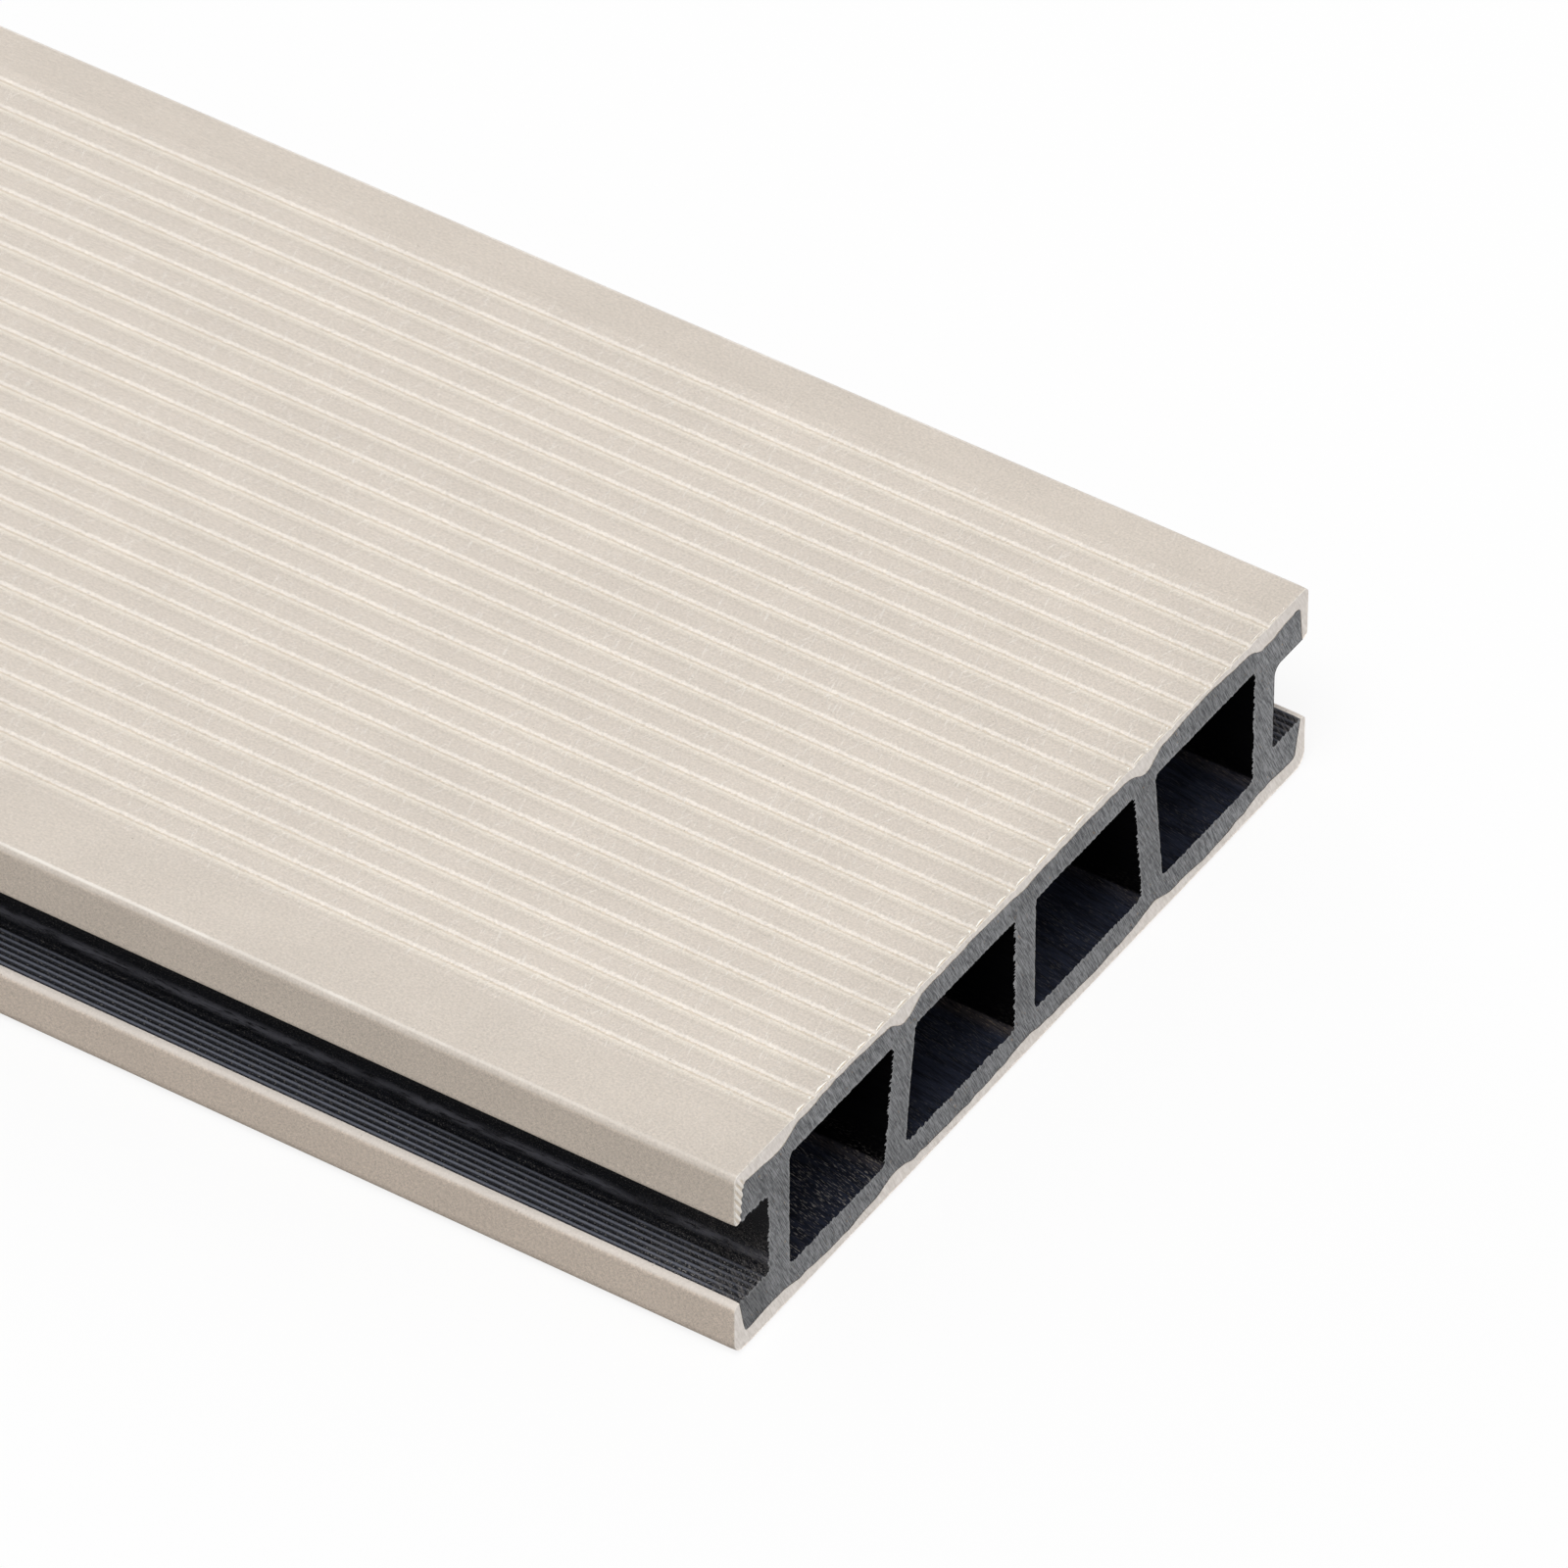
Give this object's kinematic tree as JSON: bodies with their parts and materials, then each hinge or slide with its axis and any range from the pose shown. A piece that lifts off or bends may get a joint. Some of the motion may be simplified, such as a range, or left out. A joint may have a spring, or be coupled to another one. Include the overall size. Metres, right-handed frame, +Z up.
{
  "type": "decking board",
  "caption": "Hollow composite decking board with a dark chambered core, pale caps, fine lengthwise anti-slip grooves on top and a clip groove along each side.",
  "frame": {"origin": "underside of the board, at the middle of its length and width", "axes": "+X along the board, +Y across it to the back edge, +Z up out of the grooved walking face"},
  "size_m": [2.2, 0.14, 0.032],
  "materials": {
    "core": "dark grey wood-plastic composite, matte, sawn ends paler",
    "cap": "warm beige, brushed matte"
  },
  "bodies": {
    "root": {"core": "core", "top_cap": "cap", "bottom_cap": "cap"}
  },
  "joints": []
}
